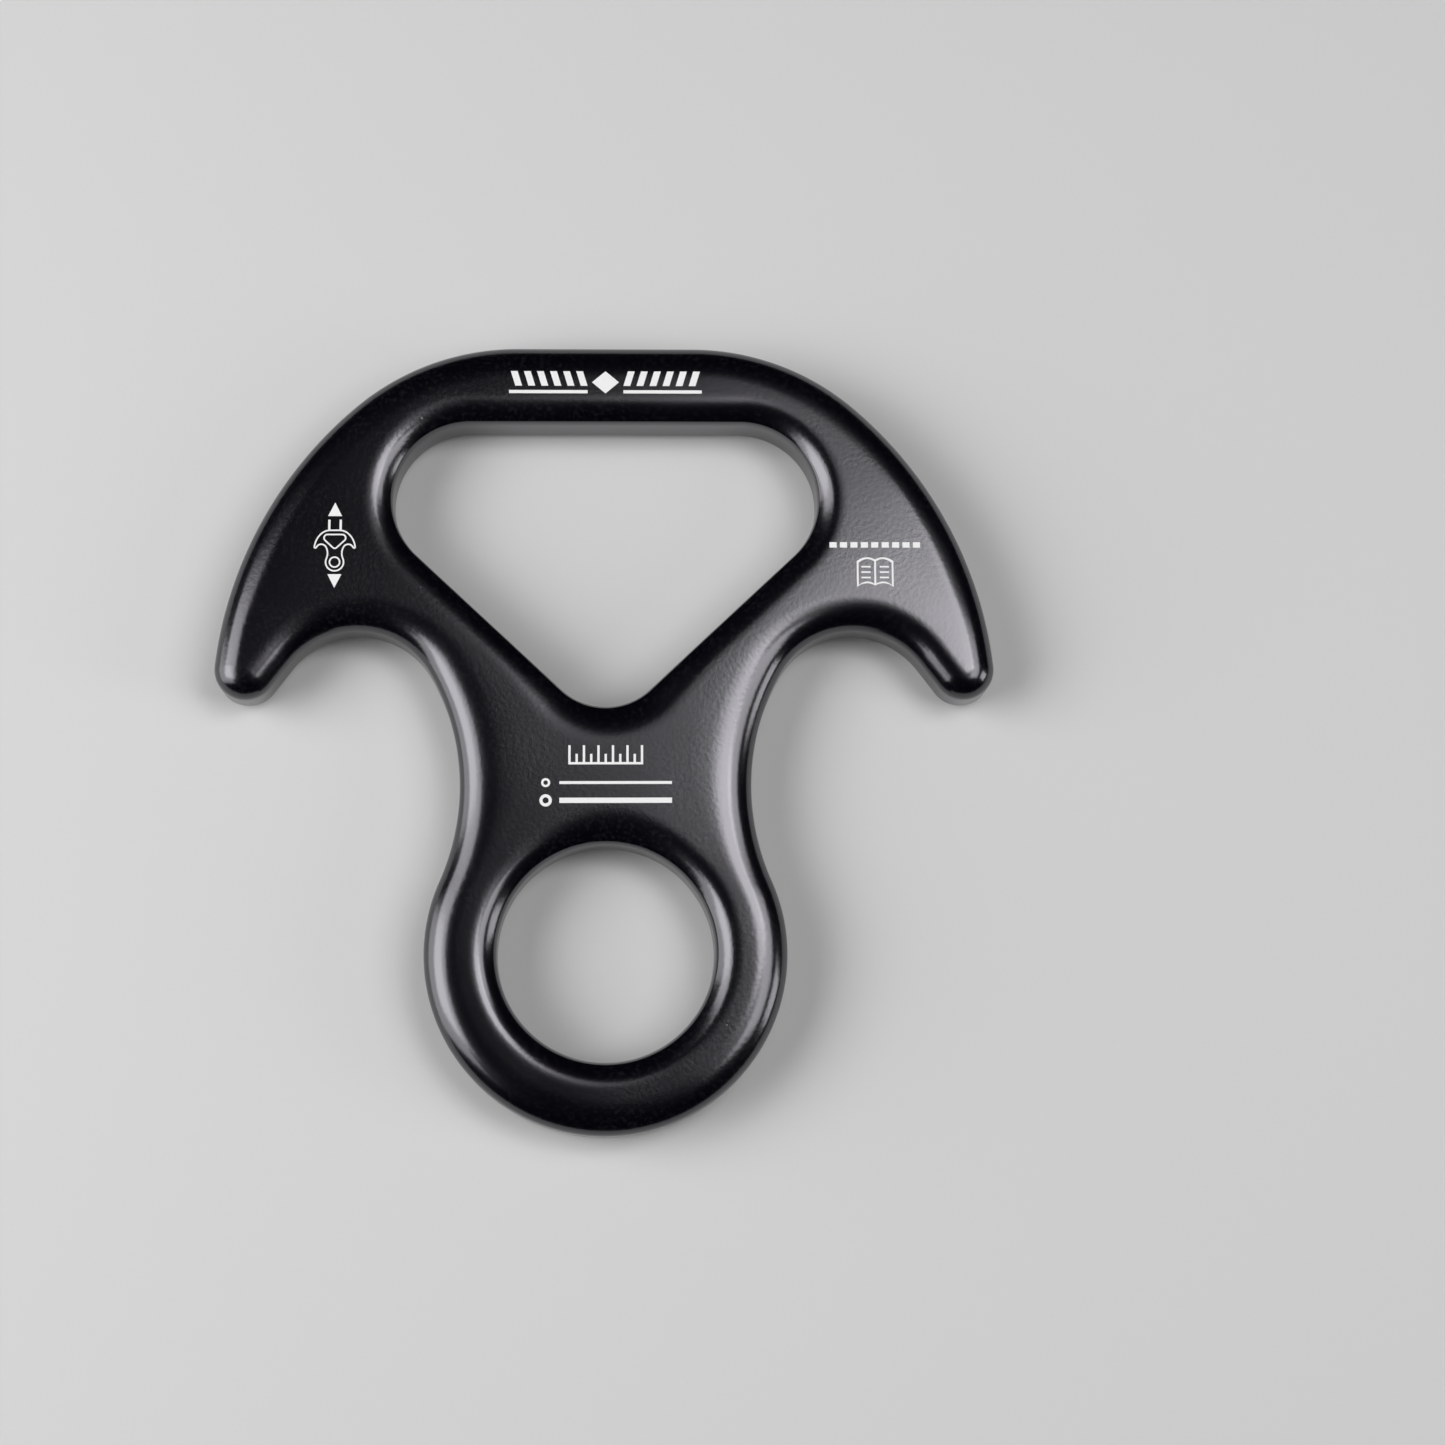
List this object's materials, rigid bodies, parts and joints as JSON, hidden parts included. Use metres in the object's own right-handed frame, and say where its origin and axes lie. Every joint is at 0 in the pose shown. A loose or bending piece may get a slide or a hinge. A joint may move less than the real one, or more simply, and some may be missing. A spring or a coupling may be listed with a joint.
{
  "type": "figure eight descender",
  "caption": "Flat forged rescue descender: round carabiner eye, waisted web, rounded triangular rope opening under a straight bar, and a horn with a rope hook on each side.",
  "frame": {"origin": "centre of the carabiner eye, half way through the thickness", "axes": "+Z out of the marked front face along the eye's axis, +Y from the eye to the straight top bar, +X to the right when the marked face is seen with the bar on top"},
  "size_m": [0.145, 0.1479, 0.0141],
  "materials": {
    "anodised_body": "satin black anodised, tumbled smooth",
    "white_ink": "matt white printed ink"
  },
  "bodies": {
    "root": {"descender_body": "anodised_body", "bar_stripe_mark": "white_ink", "load_arrow_up_mark": "white_ink", "load_arrow_down_mark": "white_ink", "load_symbol_mark": "white_ink", "dashed_rule_mark": "white_ink", "open_book_mark": "white_ink", "tick_scale_mark": "white_ink", "thin_rope_mark": "white_ink", "thick_rope_mark": "white_ink"}
  },
  "joints": []
}
